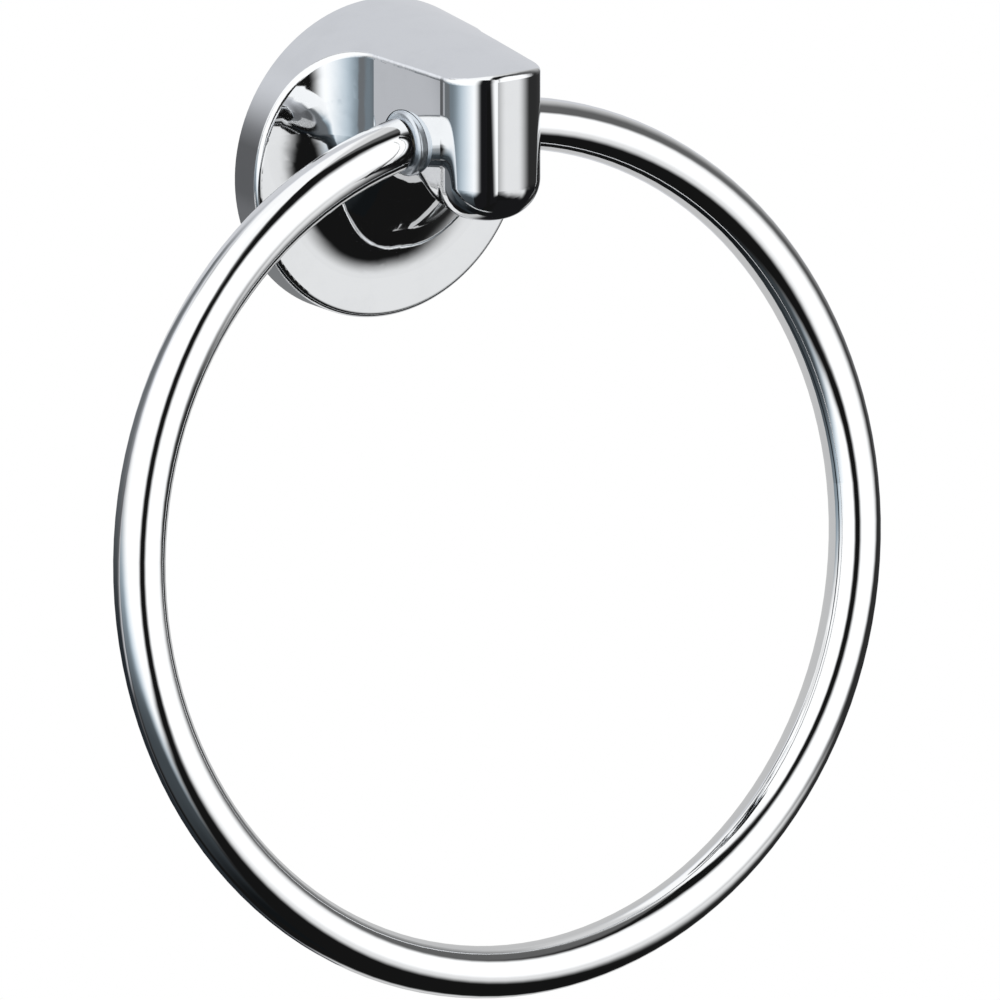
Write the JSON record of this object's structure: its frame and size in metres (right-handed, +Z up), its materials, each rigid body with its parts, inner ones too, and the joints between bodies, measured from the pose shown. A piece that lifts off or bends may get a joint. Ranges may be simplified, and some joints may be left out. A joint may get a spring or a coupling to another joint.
{
  "type": "towel ring",
  "caption": "Chrome towel ring: a round wall plate flares into a round-nosed post, and an open bent rod swings on flanged bushes through the post to hold a hand towel.",
  "frame": {"origin": "centre of the round plate's back, on the wall and midway between the bracket's two screw holes", "axes": "+Y points into the wall, so the object stands out towards -Y; +Z is up; +X is to the right for someone who faces the wall"},
  "size_m": [0.1805, 0.0673, 0.1915],
  "materials": {
    "casting": "polished chrome plate",
    "rod": "polished chrome plate",
    "bush": "satin chrome plate on brass",
    "bracket": "bare zinc casting",
    "screw": "plain stainless steel"
  },
  "bodies": {
    "wall_part": {"post": "casting", "left_bush": "bush", "right_bush": "bush", "wall_bracket": "bracket", "locking_screw": "screw"},
    "ring": {"towel_ring": "rod"}
  },
  "joints": [
    {"name": "ring_swing", "type": "hinge", "parent": "wall_part", "child": "ring", "pos_m": [0, -0.0316, 0.0122], "axis": [-1, 0, 0], "range_deg": [-19, 178]}
  ]
}
